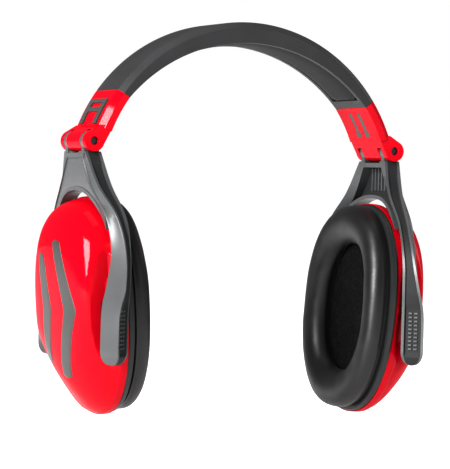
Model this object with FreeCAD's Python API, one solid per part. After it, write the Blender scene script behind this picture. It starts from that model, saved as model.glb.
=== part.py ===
"""Folding earmuff hearing protector: a sprung headband, two end caps with fold
hinges, two yokes, four sliding pivot blocks and two cups with soft cushions.

Frame: millimetres, +Z up. The origin lies midway between the cups, on the line
through both cup pivots. +X points to the right cup, +Y to the back.
Everything is modelled on the right side and mirrored to the left.
"""
import FreeCAD, Part
import math
import os
from FreeCAD import Vector

# ---- headband ----
BAND_RADIUS = 86.5          # outer face of the band, round the wearer's head
BAND_WIDTH = 34.6           # front to back
BAND_CROWN = 10.5           # thickness over the crown, pad included
BAND_END = 6.6              # thickness where the band meets an end cap
BAND_END_ANGLE = 35.2       # degrees above level, seen from the arc's centre
BAND_BEVEL = 3.0            # bevel along both outer edges
PAD_THICKNESS = 3.0
PAD_RIM = 3.2               # band rim left beside the pad
PAD_END_GAP = 3.5           # degrees of band left at each end of the pad
SPRING_THICKNESS = 0.8
SPRING_WIDTH = 18.0
SPRING_DEPTH = 1.9          # cover over the spring strip
SPRING_END_ANGLE = 27.5     # the strip ends inside the end caps

# ---- fold hinge ----
HINGE_ANGLE = 16.3          # degrees above level, on the outer face of the arc
ARM_DROP = 82.0             # from the hinge pin down to the cup pivot
KNUCKLE_RADIUS = 5.2
TONGUE_HALF = 8.9           # half width of the middle knuckle
EAR_THICKNESS = 3.5
EAR_SIDE_GAP = 0.3
OUTER_KNUCKLE = 3.7         # width of each outer knuckle
PIN_RADIUS = 2.0
PIN_RECESS = 1.6            # pin ends sit below the knuckle faces
FOLD_TRAVEL = 60.0          # degrees each arm folds in
FRAME_RAISE = 1.0           # bracket trim above the cap's outer face
TRIM_SINK = 0.8             # how deep trims are let in

# ---- yoke ----
ARCH_ROOM = 3.3             # arch above the top of the cup
ARCH_FOOT = 27.0            # below this the legs stand clear of the cup by themselves
ARCH_SIDE_GAP = 0.6
NECK_ROOM = 0.8             # yoke clear of the knuckles
PADDLE_INNER = 36.5         # cup side of a paddle, forward of the middle
ARCH_LIP = 1.8              # thickness of the rim round the arch
PADDLE_END = -26.5          # lower end of the paddles
WEB_THICKNESS = 2.4
BAR_HALF = 4.0              # half thickness of the crossbar and the ears' stems
POCKET_DEPTH = 1.0
RIB_PITCH = 2.0
RIB_COUNT = 11

# ---- sliding pivot blocks ----
BLOCK_WIDTH = 5.0
BLOCK_HEIGHT = 8.0
BLOCK_SIDE_ROOM = 1.0       # shell clear of a block's faces
BLOCK_TRAVEL = 16.0         # how far a cup can be lowered
RUNNING_GAP = 0.05          # each side of a sliding block
STUD_RADIUS = 2.1
STUD_GAP = 0.04

# ---- cup ----
PIVOT_INSET = 0.5           # cup pivot inboard of the hinge pin
CUP_TILT = 4.5              # degrees, lower edge inward, with the muff off the head
CUP_HALF_DEPTH = 41.5       # front to back
CUP_HALF_HEIGHT = 54.2
CUP_SQUARENESS = 2.3        # exponent of the outline, 2 is an ellipse
CUP_RIM = -9.5              # shell rim, outward of the pivot axis
CUP_OUTER = 15.0            # outer face of the shell
SHELL_WALL = 2.4
CHANNEL_ROOM = 1.7          # shell clear of the paddle's inner edge
LEG_GAP = 2.2               # shell clear of the paddle
PLATE_THICKNESS = 3.0
CARRIER_THICKNESS = 1.4
CUSHION_THICKNESS = 8.6
CUSHION_SIDE_STEP = 1.5     # cushion inside the cup's outline, front and back
CUSHION_END_STEP = 2.4      # and at top and bottom
HOLE_HALF_DEPTH = 25.0
HOLE_HALF_HEIGHT = 33.0
SKIN = 0.9
CUSHION_ROUND = 4.2
CHEVRON_WIDTH = 9.5
INLAY_DEPTH = 1.0

BAND_HALF = BAND_WIDTH / 2
HINGE_X = BAND_RADIUS * math.cos(math.radians(HINGE_ANGLE))
HINGE_Z = ARM_DROP
ARC_Z = HINGE_Z - BAND_RADIUS * math.sin(math.radians(HINGE_ANGLE))
PIVOT_X = HINGE_X - PIVOT_INSET
EAR_INNER = TONGUE_HALF + EAR_SIDE_GAP
EAR_OUTER = EAR_INNER + EAR_THICKNESS
KNUCKLE_INNER = EAR_OUTER + EAR_SIDE_GAP
KNUCKLE_OUTER = KNUCKLE_INNER + OUTER_KNUCKLE
NECK_Z = HINGE_Z - KNUCKLE_RADIUS - NECK_ROOM
ARCH_TOP = CUP_HALF_HEIGHT + ARCH_ROOM
CHANNEL_HALF = PADDLE_INNER - CHANNEL_ROOM
CUSHION_HALF_DEPTH = CUP_HALF_DEPTH - CUSHION_SIDE_STEP
CUSHION_HALF_HEIGHT = CUP_HALF_HEIGHT - CUSHION_END_STEP
UP = Vector(0, 0, 1)
BACK = Vector(0, 1, 0)
OUT = Vector(1, 0, 0)


def on_arc(radius, angle):
    """(x, z) of a point on a circle round the band's centre."""
    turn = math.radians(angle)
    return radius * math.cos(turn), ARC_Z + radius * math.sin(turn)


def prism_xz(points, half_width, middle=0.0):
    """A polygon in the XZ plane, extruded along Y."""
    corners = [Vector(x, middle - half_width, z) for x, z in points]
    face = Part.Face(Part.makePolygon(corners + corners[:1]))
    return face.extrude(Vector(0, 2 * half_width, 0))


def slab_y(x_low, x_high, y_low, y_high, z_low, z_high):
    return Part.makeBox(x_high - x_low, y_high - y_low, z_high - z_low, Vector(x_low, y_low, z_low))


def rod_y(radius, y_low, y_high, x, z):
    return Part.makeCylinder(radius, y_high - y_low, Vector(x, y_low, z), BACK)


def arc_edge(radius, first, last, y, centre_z=None):
    """Arc of a circle in the XZ plane, angles in degrees above +X."""
    height = ARC_Z if centre_z is None else centre_z
    ends = []
    for angle in (first, (first + last) / 2, last):
        turn = math.radians(angle)
        ends.append(Vector(radius * math.cos(turn), y, height + radius * math.sin(turn)))
    return Part.Arc(*ends).toShape()


def sector(inner, outer, first, last, half_width, middle=0.0):
    """A stretch of the band between two radii and two angles."""
    y = middle - half_width
    top = arc_edge(outer, first, last, y)
    low = arc_edge(inner, last, first, y)
    joins = [Part.makeLine(top.Vertexes[-1].Point, low.Vertexes[0].Point),
             Part.makeLine(low.Vertexes[-1].Point, top.Vertexes[0].Point)]
    wire = Part.Wire([top, joins[0], low, joins[1]])
    return Part.Face(wire).extrude(Vector(0, 2 * half_width, 0))


def underside():
    """Radius and centre height of the arc on the underside of the band."""
    x, z = on_arc(BAND_RADIUS - BAND_END, BAND_END_ANGLE)
    crown = ARC_Z + BAND_RADIUS - BAND_CROWN
    centre = (crown ** 2 - z ** 2 - x ** 2) / (2 * (crown - z))
    return crown - centre, centre


def crescent(half_width, lift, first, last):
    """Band body between its outer arc and its underside, raised by lift."""
    radius, centre = underside()
    big = Part.makeCylinder(BAND_RADIUS, 2 * half_width, Vector(0, -half_width, ARC_Z), BACK)
    small = Part.makeCylinder(radius + lift, 2 * half_width + 2, Vector(0, -half_width - 1, centre), BACK)
    reach = 2 * BAND_RADIUS
    corners = [(0, ARC_Z), on_arc(reach, first), (0, ARC_Z + reach), on_arc(reach, last)]
    wedge = prism_xz(corners, half_width + 1)
    return big.cut(small).common(wedge)


def bevelled(shape, radius, size, half_width):
    """Bevels the two edges of shape that run round the outer arc."""
    picked = []
    for edge in shape.Edges:
        middle = edge.valueAt((edge.FirstParameter + edge.LastParameter) / 2)
        away = math.hypot(middle.x, middle.z - ARC_Z)
        if abs(away - radius) < 0.01 and abs(abs(middle.y) - half_width) < 0.01:
            picked.append(edge)
    return shape.makeChamfer(size, picked)


def spring_slab(grow):
    outer = BAND_RADIUS - SPRING_DEPTH + grow
    inner = BAND_RADIUS - SPRING_DEPTH - SPRING_THICKNESS - grow
    ends = SPRING_END_ANGLE - math.degrees(grow / BAND_RADIUS)
    return sector(inner, outer, ends, 180 - ends, SPRING_WIDTH / 2 + grow)


def pad_shape():
    lip = BAND_END_ANGLE + PAD_END_GAP
    half = BAND_HALF - PAD_RIM
    outer = crescent(half, 0, lip, 180 - lip)
    return outer.cut(crescent(half + 1, PAD_THICKNESS, lip - 1, 181 - lip))


def headband_shell():
    body = crescent(BAND_HALF, 0, BAND_END_ANGLE, 180 - BAND_END_ANGLE)
    body = bevelled(body, BAND_RADIUS, BAND_BEVEL, BAND_HALF)
    return body.cut(pad_shape()).cut(spring_slab(RUNNING_GAP))


def frame_trim():
    """Inverted-U bracket let into the outer face of an end cap."""
    low, high = BAND_RADIUS - TRIM_SINK, BAND_RADIUS + FRAME_RAISE
    plate = sector(low, high, 22.2, 31.4, 11.0)
    gap = sector(low - 1, high + 1, 21.2, 26.6, 6.8)
    window = sector(low - 1, high + 1, 28.3, 30.0, 6.8)
    return plate.cut(gap).cut(window)


def inside_trims():
    """Two slim strips let into the inner face of an end cap."""
    inner = BAND_RADIUS - BAND_END
    strips = []
    for side in (-1, 1):
        strip = sector(inner, inner + TRIM_SINK, 23.2, 33.0, 1.6, side * 4.6)
        foot = sector(inner, inner + TRIM_SINK, 23.2, 25.2, 2.3, side * 4.6)
        strips.append(strip.fuse(foot).removeSplitter())
    return strips


def end_cap():
    inner = BAND_RADIUS - BAND_END
    shoulder = HINGE_ANGLE + 5.0
    body = sector(inner, BAND_RADIUS, shoulder, BAND_END_ANGLE, BAND_HALF)
    body = bevelled(body, BAND_RADIUS, BAND_BEVEL, BAND_HALF)
    inner_side = math.radians(197)
    throat = [on_arc(inner, shoulder + 2), on_arc(BAND_RADIUS - 0.2, shoulder + 0.6),
              (HINGE_X + KNUCKLE_RADIUS * 0.6, HINGE_Z + KNUCKLE_RADIUS * 0.8), (HINGE_X, HINGE_Z),
              (HINGE_X + KNUCKLE_RADIUS * math.cos(inner_side),
               HINGE_Z + KNUCKLE_RADIUS * math.sin(inner_side))]
    body = body.fuse(prism_xz(throat, KNUCKLE_OUTER))
    body = body.fuse(rod_y(KNUCKLE_RADIUS, -KNUCKLE_OUTER, KNUCKLE_OUTER, HINGE_X, HINGE_Z))
    for side in (-1, 1):
        middle = side * (EAR_INNER + EAR_OUTER) / 2
        half = EAR_THICKNESS / 2 + EAR_SIDE_GAP
        room = KNUCKLE_RADIUS + 0.5
        slot = rod_y(room, middle - half, middle + half, HINGE_X, HINGE_Z)
        below = slab_y(HINGE_X - 12, HINGE_X + 12, middle - half, middle + half, HINGE_Z - 12, HINGE_Z)
        folded = slab_y(HINGE_X - BAR_HALF - 0.5, HINGE_X, middle - half, middle + half, HINGE_Z - 12, HINGE_Z)
        folded.rotate(Vector(HINGE_X, 0, HINGE_Z), BACK, FOLD_TRAVEL)
        body = body.cut(slot).cut(below).cut(folded)
    body = body.cut(rod_y(PIN_RADIUS + STUD_GAP, -BAND_WIDTH, BAND_WIDTH, HINGE_X, HINGE_Z))
    body = body.cut(spring_slab(RUNNING_GAP)).cut(frame_trim())
    for strip in inside_trims():
        body = body.cut(strip)
    return body


def hinge_pin():
    half = KNUCKLE_OUTER - PIN_RECESS
    return rod_y(PIN_RADIUS, -half, half, HINGE_X, HINGE_Z)


# Sections of the front leg as (height, corners). Corners are (outward from the
# hinge pin, forward of the middle): outer face, front edge, head side, cup side.
LEG_SECTIONS = [
    (NECK_Z, [(4.3, 8.6), (4.0, 14.6), (-4.4, 14.8), (-4.3, 8.6)]),
    (60.0, [(3.6, 19.6), (1.0, 24.6), (-7.0, 23.6), (-4.0, 18.4)]),
    (45.0, [(0.9, 35.7), (-3.3, 40.3), (-8.8, 38.9), (-3.5, 33.0)]),
    (28.0, [(0.2, 42.3), (-4.6, 49.6), (-9.2, 45.2), (-1.8, PADDLE_INNER + 0.4)]),
    (11.0, [(2.4, 42.5), (-3.2, 54.0), (-9.1, 46.0), (-1.6, PADDLE_INNER + 0.1)]),
    (3.0, [(4.2, 42.6), (-1.2, 54.0), (-8.8, 45.5), (-1.6, PADDLE_INNER)]),
    (-4.0, [(4.6, 42.6), (-0.4, 53.7), (-8.7, 45.3), (-1.6, PADDLE_INNER)]),
    (PADDLE_END, [(4.6, 42.6), (-0.4, 53.7), (-8.7, 45.3), (-1.6, PADDLE_INNER)]),
]


def leg():
    """Front leg and paddle, lofted through its sections, with a round end."""
    wires = []
    for height, corners in LEG_SECTIONS:
        ring = [Vector(HINGE_X + out, -forward, height) for out, forward in corners]
        wires.append(Part.makePolygon(ring + ring[:1]))
    body = Part.makeLoft(wires, True, True)
    front, head, cup = LEG_SECTIONS[-1][1][1:]
    middle = -(front[1] + cup[1]) / 2
    half = (front[1] - cup[1]) / 2
    centre = PADDLE_END + half
    keep = Part.makeCylinder(half, 40, Vector(HINGE_X - 20, middle, centre), OUT)
    keep = keep.fuse(slab_y(HINGE_X - 20, HINGE_X + 20, middle - 40, middle + 40, centre, HINGE_Z))
    body = body.common(keep)
    return body.cut(front_pocket(front, head)).fuse(grip_ribs(front, head))


def face_frame(front, head):
    """Directions across and out of the paddle's front face, and its middle."""
    a = Vector(HINGE_X + head[0], -head[1], 0)
    b = Vector(HINGE_X + front[0], -front[1], 0)
    across = (b - a).normalize()
    normal = across.cross(UP).normalize()
    return across, normal, (a + b) / 2, (b - a).Length


def front_block(front, head, half, depth_from, depth_to, z_low, z_high):
    across, normal, middle, _ = face_frame(front, head)
    corners = []
    for side, depth in ((-half, depth_from), (half, depth_from), (half, depth_to), (-half, depth_to)):
        spot = middle + across * side - normal * depth
        corners.append(Vector(spot.x, spot.y, z_low))
    face = Part.Face(Part.makePolygon(corners + corners[:1]))
    return face.extrude(Vector(0, 0, z_high - z_low))


def front_pocket(front, head):
    half = (face_frame(front, head)[3] - 3.2) / 2
    return front_block(front, head, half, -1.0, POCKET_DEPTH, PADDLE_END + 7.0, 3.5)


def grip_ribs(front, head):
    half = (face_frame(front, head)[3] - 6.4) / 2
    ribs = []
    for step in range(RIB_COUNT):
        low = PADDLE_END + 8.4 + step * RIB_PITCH
        ribs.append(front_block(front, head, half, 0.4, POCKET_DEPTH + 0.4, low, low + 0.9))
    return ribs


def block_groove(side, gap):
    """Groove for a sliding block in the cup side of a paddle."""
    floor = LEG_SECTIONS[-1][1][3][1] + 6.2
    low = -BLOCK_TRAVEL - BLOCK_HEIGHT / 2 - 0.4
    high = BLOCK_HEIGHT / 2 + 0.4
    half = BLOCK_WIDTH / 2 + gap
    y_low, y_high = sorted((side * 25.0, side * (floor + gap)))
    return slab_y(PIVOT_X - half, PIVOT_X + half, y_low, y_high, low, high)


def arch_form(grow):
    """Opening of the arch: the cup's outline with room round it, above the paddles."""
    form = oval_block(HINGE_X - 30, HINGE_X + 30, CUP_HALF_DEPTH + ARCH_SIDE_GAP + grow, ARCH_TOP + grow)
    return form.common(slab_y(HINGE_X - 40, HINGE_X + 40, -60, 60, ARCH_FOOT, HINGE_Z))


def lip_room(outer):
    """Stretch of the arch that carries a rim on the head side."""
    return slab_y(HINGE_X - BAR_HALF, outer - 0.1, -17, 17, ARCH_TOP - 9, ARCH_TOP + 5)


def yoke():
    front = leg()
    body = front.fuse(front.mirror(Vector(), BACK))
    neck = NECK_Z
    outer = HINGE_X + 4.3
    web = [(8.7, neck), (19.8, 60.0), (33.0, 45.5), (-33.0, 45.5), (-19.8, 60.0), (-8.7, neck)]
    corners = [Vector(outer - WEB_THICKNESS, y, z) for y, z in web]
    plate = Part.Face(Part.makePolygon(corners + corners[:1])).extrude(Vector(WEB_THICKNESS, 0, 0))
    body = body.fuse(plate).fuse(arch_form(ARCH_LIP).common(lip_room(outer)))
    body = body.cut(arch_form(0))
    clevis = slab_y(HINGE_X - BAR_HALF, HINGE_X + BAR_HALF, -EAR_OUTER, EAR_OUTER, neck - 2.2, neck)
    for side in (-1, 1):
        y_low, y_high = sorted((side * EAR_INNER, side * EAR_OUTER))
        ear = rod_y(KNUCKLE_RADIUS - 0.2, y_low, y_high, HINGE_X, HINGE_Z)
        stem = slab_y(HINGE_X - BAR_HALF, HINGE_X + BAR_HALF, y_low, y_high, neck - 1.0, HINGE_Z)
        clevis = clevis.fuse(ear).fuse(stem)
    body = body.fuse(clevis)
    body = body.cut(rod_y(PIN_RADIUS + STUD_GAP, -BAND_WIDTH, BAND_WIDTH, HINGE_X, HINGE_Z))
    for side in (-1, 1):
        body = body.cut(block_groove(side, 0))
    return body.removeSplitter()


def pivot_block(side):
    """Block that slides in a paddle and carries the stud that the cup tilts on."""
    floor = LEG_SECTIONS[-1][1][3][1] + 6.2
    half = BLOCK_WIDTH / 2 - RUNNING_GAP
    y_low, y_high = sorted((side * (CHANNEL_HALF + 0.6), side * (floor - RUNNING_GAP)))
    body = slab_y(PIVOT_X - half, PIVOT_X + half, y_low, y_high, -BLOCK_HEIGHT / 2, BLOCK_HEIGHT / 2)
    s_low, s_high = sorted((side * (CHANNEL_HALF - 5.0), side * (CHANNEL_HALF + 2.0)))
    return body.fuse(rod_y(STUD_RADIUS, s_low, s_high, PIVOT_X, 0))


# ---- cup, in its own frame: x outward from the pivot axis, not yet tilted ----

def oval(x, half_depth, half_height, squareness=CUP_SQUARENESS):
    """Closed smooth outline at x, from the formula of a superellipse."""
    count = 28
    points = []
    for step in range(count):
        turn = 2 * math.pi * step / count
        c, s = math.cos(turn), math.sin(turn)
        y = half_depth * math.copysign(abs(c) ** (2 / squareness), c)
        z = half_height * math.copysign(abs(s) ** (2 / squareness), s)
        points.append(Vector(x, y, z))
    curve = Part.BSplineCurve()
    curve.interpolate(points, PeriodicFlag=True)
    return Part.Wire(curve.toShape())


def oval_block(x_low, x_high, half_depth, half_height):
    face = Part.Face(oval(x_low, half_depth, half_height))
    return face.extrude(Vector(x_high - x_low, 0, 0))


# Shell sections as (share of the way from rim to outer face, inset of the outline).
DOME = [(0.0, 0.0), (0.3, 0.7), (0.58, 3.6), (0.8, 8.6), (0.93, 14.0), (1.0, 19.5)]


def dome(inset, rim_extra=0.0):
    """Outer form of the shell, with every wall moved in by inset."""
    wires = []
    for share, pull in DOME:
        x = CUP_RIM - rim_extra + share * (CUP_OUTER - inset - CUP_RIM + rim_extra)
        wires.append(oval(x, CUP_HALF_DEPTH - inset - pull, CUP_HALF_HEIGHT - inset - pull))
    return Part.makeLoft(wires, True, False)


def leg_channel(side, inset):
    """Room beside the shell for a leg, with the shell's wall moved in by inset."""
    head, cup = (Vector(out + PIVOT_INSET, forward, 0) for out, forward in LEG_SECTIONS[-1][1][2:])
    along = (head - cup).normalize()
    away = UP.cross(along).normalize()
    if away.x > 0:
        away = away * -1
    gap = LEG_GAP + inset
    near = head + away * gap
    x_wall = -BLOCK_WIDTH / 2 - BLOCK_SIDE_ROOM - inset
    far = near + along * 30
    outline = [(far.x, far.y), (near.x, near.y), (x_wall, CHANNEL_HALF - inset),
               (40.0, CHANNEL_HALF - inset), (40.0, far.y)]
    low = PADDLE_END - 2.5 - inset
    corners = [Vector(x, side * y, low) for x, y in outline]
    return Part.Face(Part.makePolygon(corners + corners[:1])).extrude(Vector(0, 0, 100))


def waisted(shape, inset):
    for side in (-1, 1):
        shape = shape.cut(leg_channel(side, inset))
    return shape


def chevron_prism(bend_y, sweep_down, sweep_up, half_height):
    """Bent stripe that points forward, cut through the whole shell."""
    half = CHEVRON_WIDTH / 2
    ends = half * 0.9
    foot, head = bend_y + sweep_down, bend_y + sweep_up
    outline = [(head - ends, half_height), (bend_y - half * 1.4, 0), (foot - ends, -half_height),
               (foot + ends, -half_height), (bend_y + half * 1.2, 0), (head + ends, half_height)]
    corners = [Vector(0, y, z) for y, z in outline]
    return Part.Face(Part.makePolygon(corners + corners[:1])).extrude(Vector(40, 0, 0))


def chevrons():
    layer = dome(0).cut(dome(INLAY_DEPTH, 1.0))
    stripes = [chevron_prism(-23.0, 9.0, 15.5, 34.0), chevron_prism(5.0, 3.5, 7.0, 27.0)]
    return [layer.common(stripe) for stripe in stripes]


def cup_shell():
    body = waisted(dome(0), 0)
    hollow = waisted(dome(SHELL_WALL, 1.0), SHELL_WALL)
    body = body.cut(hollow)
    for side in (-1, 1):
        y_low, y_high = sorted((side * (CHANNEL_HALF - 4.6), side * (CHANNEL_HALF - 0.5)))
        body = body.fuse(rod_y(4.2, y_low, y_high, 0, 0))
    body = body.cut(rod_y(STUD_RADIUS + STUD_GAP, -60, 60, 0, 0))
    for stripe in chevrons():
        body = body.cut(stripe)
    return body


def backplate():
    low = CUP_RIM - PLATE_THICKNESS
    body = oval_block(low, CUP_RIM, CUP_HALF_DEPTH + 0.2, CUP_HALF_HEIGHT - 1.0)
    return body.cut(oval_block(low - 1, CUP_RIM + 1, HOLE_HALF_DEPTH + 2, HOLE_HALF_HEIGHT + 2))


def cushion_carrier():
    high = CUP_RIM - PLATE_THICKNESS
    low = high - CARRIER_THICKNESS
    body = oval_block(low, high, CUSHION_HALF_DEPTH - 1.2, CUSHION_HALF_HEIGHT - 1.2)
    return body.cut(oval_block(low - 1, high + 1, HOLE_HALF_DEPTH + 2, HOLE_HALF_HEIGHT + 2))


def cushion_form(inset):
    """Ring cushion with rounded edges, every face moved in by inset."""
    high = CUP_RIM - PLATE_THICKNESS - CARRIER_THICKNESS
    low = high - CUSHION_THICKNESS
    body = oval_block(low + inset, high - inset, CUSHION_HALF_DEPTH - inset, CUSHION_HALF_HEIGHT - inset)
    hole = oval_block(low - 1, high + 1, HOLE_HALF_DEPTH + inset, HOLE_HALF_HEIGHT + inset)
    body = body.cut(hole)
    face_edges = [edge for edge in body.Edges if abs(edge.BoundBox.XMax - low - inset) < 0.01]
    return body.makeFillet(CUSHION_ROUND - inset, face_edges)


def cushion_foam():
    return cushion_form(SKIN + 0.05)


def cushion_skin():
    return cushion_form(0).cut(cushion_form(SKIN))


def cup_foam():
    half = CHANNEL_HALF - 6.0
    return oval_block(CUP_RIM + 0.6, CUP_OUTER - SHELL_WALL - 4.0, half, CUP_HALF_HEIGHT - 16)


def cover_foam():
    return oval_block(CUP_RIM - PLATE_THICKNESS + 0.2, CUP_RIM - 0.2, HOLE_HALF_DEPTH + 1.6, HOLE_HALF_HEIGHT + 1.6)


def place_cup(shape):
    """Hangs a cup piece on its pivot axis, lower edge tilted inward."""
    moved = shape.copy()
    moved.translate(Vector(PIVOT_X, 0, 0))
    moved.rotate(Vector(PIVOT_X, 0, 0), BACK, CUP_TILT)
    return moved


def solids_of(shape):
    pieces = shape if isinstance(shape, list) else [shape]
    found = []
    for piece in pieces:
        found.extend(piece.Solids)
    return found


def write(name, shape):
    found = solids_of(shape)
    body = found[0] if len(found) == 1 else Part.makeCompound(found)
    valid = all(solid.isValid() for solid in found)
    print(f"{name:28s} solids {len(found)} volume {body.Volume:10.1f} valid {valid}")
    body.exportStep(f"parts/{name}.step")


def mirrored(shape):
    return [solid.mirror(Vector(), OUT) for solid in solids_of(shape)]


os.makedirs("parts", exist_ok=True)
write("headband_shell", headband_shell())
write("headband_pad", pad_shape())
write("spring_strip", spring_slab(0))

FIXED = {
    "end_cap": end_cap(),
    "cap_bracket": frame_trim(),
    "cap_strips": inside_trims(),
    "hinge_pin": hinge_pin(),
    "yoke": yoke(),
    "front_pivot_block": pivot_block(-1),
    "rear_pivot_block": pivot_block(1),
}
CUP = {
    "cup_shell": cup_shell(),
    "chevron_inlays": chevrons(),
    "backplate": backplate(),
    "cup_foam": cup_foam(),
    "cover_foam": cover_foam(),
    "cushion_carrier": cushion_carrier(),
    "cushion_skin": cushion_skin(),
    "cushion_foam": cushion_foam(),
}
for name, shape in FIXED.items():
    write("right_" + name, shape)
    write("left_" + name, mirrored(shape))
for name, shape in CUP.items():
    hung = [place_cup(solid) for solid in solids_of(shape)]
    write("right_" + name, hung)
    write("left_" + name, mirrored(hung))
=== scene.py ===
import math

import bmesh
import bpy
from bpy.props import FloatProperty, FloatVectorProperty, IntProperty, PointerProperty
from mathutils import Matrix, Vector, noise


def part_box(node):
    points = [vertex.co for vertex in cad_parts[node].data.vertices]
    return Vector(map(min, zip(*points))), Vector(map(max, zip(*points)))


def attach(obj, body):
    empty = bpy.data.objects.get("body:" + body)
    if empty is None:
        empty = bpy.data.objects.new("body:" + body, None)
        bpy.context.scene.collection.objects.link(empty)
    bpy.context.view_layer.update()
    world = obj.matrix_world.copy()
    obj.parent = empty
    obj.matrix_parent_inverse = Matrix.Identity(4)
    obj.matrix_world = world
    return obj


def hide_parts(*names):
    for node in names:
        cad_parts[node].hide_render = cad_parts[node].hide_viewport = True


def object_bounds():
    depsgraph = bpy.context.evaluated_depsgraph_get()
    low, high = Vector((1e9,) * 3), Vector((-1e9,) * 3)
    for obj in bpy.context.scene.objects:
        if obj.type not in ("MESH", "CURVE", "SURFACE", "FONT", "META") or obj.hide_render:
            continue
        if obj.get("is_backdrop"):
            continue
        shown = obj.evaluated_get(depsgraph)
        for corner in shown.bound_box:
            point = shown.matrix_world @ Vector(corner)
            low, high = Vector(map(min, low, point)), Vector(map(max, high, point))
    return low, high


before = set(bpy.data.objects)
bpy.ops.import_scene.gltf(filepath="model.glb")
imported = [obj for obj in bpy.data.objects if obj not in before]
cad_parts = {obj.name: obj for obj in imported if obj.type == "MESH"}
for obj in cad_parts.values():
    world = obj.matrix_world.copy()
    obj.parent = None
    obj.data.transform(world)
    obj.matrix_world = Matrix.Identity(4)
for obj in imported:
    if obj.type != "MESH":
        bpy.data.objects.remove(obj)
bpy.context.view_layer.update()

bl_info = {
    "name": "Folding Earmuffs",
    "version": (1, 0, 0),
    "blender": (4, 5, 0),
    "location": "View3D > Sidebar > Earmuffs",
    "description": "Models and finishes a folding pair of hearing-protection earmuffs",
    "category": "Add Mesh",
}

# Lengths in this file are millimetres unless they are named for another unit.
MM = 0.001


def middle_of(node):
    low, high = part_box(node)
    return (low + high) / 2 / MM


PIN = middle_of("right_hinge_pin")
PIVOT_X = middle_of("right_front_pivot_block").x
BAND_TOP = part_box("headband_shell")[1].z / MM
BAND_RADIUS = 86.5
ARC_Z = BAND_TOP - BAND_RADIUS
BAND_END = 6.6              # thickness where the band meets an end cap
BAND_END_ANGLE = 35.2       # degrees above level, seen from the arc's centre
BAND_CROWN = 10.5
BAND_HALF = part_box("headband_shell")[1].y / MM
PAD_RIM = 3.2
PAD_FIRST = 38.7            # degrees above level where the crown pad starts
CUP_TILT = math.radians(4.5)
SQUARENESS = 2.3
CUP_DEPTH = 41.5            # half the cup, front to back
CUP_HEIGHT = 54.2
CUP_RIM = -9.5              # outward of the pivot, as are the other cup faces
CUP_FACE = 15.0
PLATE_FACE = -12.5
CUSHION_BASE = -13.8
CHANNEL_HALF = 34.6
ARCH_TOP = 57.5
ARCH_DEPTH = 42.1
EAR_INNER = 9.2
EAR_OUTER = 12.7
SIDES = ("left", "right")


# ---------------------------------------------------------------- node trees

def linear(code):
    """sRGB hex colour to the linear values that shaders take."""
    parts = [int(code[i:i + 2], 16) / 255 for i in (1, 3, 5)]
    return [p / 12.92 if p <= 0.04045 else ((p + 0.055) / 1.055) ** 2.4 for p in parts]


def add(tree, kind, values=None, links=None, **settings):
    """Adds a node, with its settings, its input values and its incoming links."""
    made = tree.nodes.new(kind)
    for name, value in settings.items():
        setattr(made, name, value)
    for name, value in (values or {}).items():
        made.inputs[name].default_value = value
    for name, source in (links or {}).items():
        tree.links.new(source, made.inputs[name])
    return made


def ramp(tree, source, stops):
    """Adds a colour ramp with (place, linear colour) stops."""
    made = add(tree, "ShaderNodeValToRGB", links={"Fac": source})
    for index, (place, colour) in enumerate(stops):
        stop = made.color_ramp.elements[index] if index < 2 else made.color_ramp.elements.new(place)
        stop.position = place
        stop.color = (*colour, 1.0)
    return made


def per_metre(size):
    """Texture scale that repeats about every size millimetres."""
    return 1.0 / (size * MM)


def start(name, values):
    """New material with its shader set to constants, and its place on the object."""
    material = bpy.data.materials.new(name)
    material.use_nodes = True
    tree = material.node_tree
    shader = tree.nodes["Principled BSDF"]
    for socket, value in values.items():
        shader.inputs[socket].default_value = value
    place = add(tree, "ShaderNodeTexCoord").outputs["Object"]
    return material, tree, shader, place


def shifted(colour, factor):
    return [min(1.0, part * factor) for part in colour]


def moulded(name, colour, roughness, grain, height, spread=0.12, **constants):
    """Moulded plastic: faint flow mottling, a roughness that wanders and a fine grain."""
    material, tree, shader, place = start(name, {"IOR": 1.5, **constants})
    flow = add(tree, "ShaderNodeTexNoise", {"Scale": per_metre(24), "Detail": 3.0}, {"Vector": place})
    tint = ramp(tree, flow.outputs["Fac"],
                [(0.3, shifted(colour, 1 - spread)), (0.7, shifted(colour, 1 + spread))])
    tree.links.new(tint.outputs["Color"], shader.inputs["Base Color"])
    wander = add(tree, "ShaderNodeMapRange", {"To Min": roughness * 0.85, "To Max": roughness * 1.15},
                 {"Value": flow.outputs["Fac"]})
    tree.links.new(wander.outputs["Result"], shader.inputs["Roughness"])
    fine = add(tree, "ShaderNodeTexNoise", {"Scale": per_metre(grain), "Detail": 2.0}, {"Vector": place})
    bump = add(tree, "ShaderNodeBump", {"Strength": 1.0, "Distance": height * MM},
               {"Height": fine.outputs["Fac"]})
    tree.links.new(bump.outputs["Normal"], shader.inputs["Normal"])
    return material


def red_abs(colours):
    # Acrylonitrile butadiene styrene out of a polished mould: a deep even red under
    # a hard, mirror-like skin, with only a trace of orange peel.
    return moulded("gloss_red_abs", colours.red, 0.13, 6.0, 0.006, 0.05,
                   **{"Specular IOR Level": 0.0, "Coat Weight": 0.3, "Coat Roughness": 0.06})


def band_plastic(colours):
    # Spark-eroded polypropylene: dark grey, evenly matt, fine enough that the grain
    # only breaks up the highlight. Drawn at 0.6 mm, coarser than real, so it shows.
    return moulded("textured_polypropylene", colours.band, 0.46, 0.6, 0.05, **{"Specular IOR Level": 0.22})


def yoke_nylon(colours):
    # Glass-filled nylon in silver grey: satin, with a slightly metallic sheen from
    # its pigment and light running along the moulded edges.
    return moulded("silver_grey_nylon", colours.yoke, 0.34, 0.7, 0.02, 0.08,
                   **{"Metallic": 0.1, "Specular IOR Level": 0.4})


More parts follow.
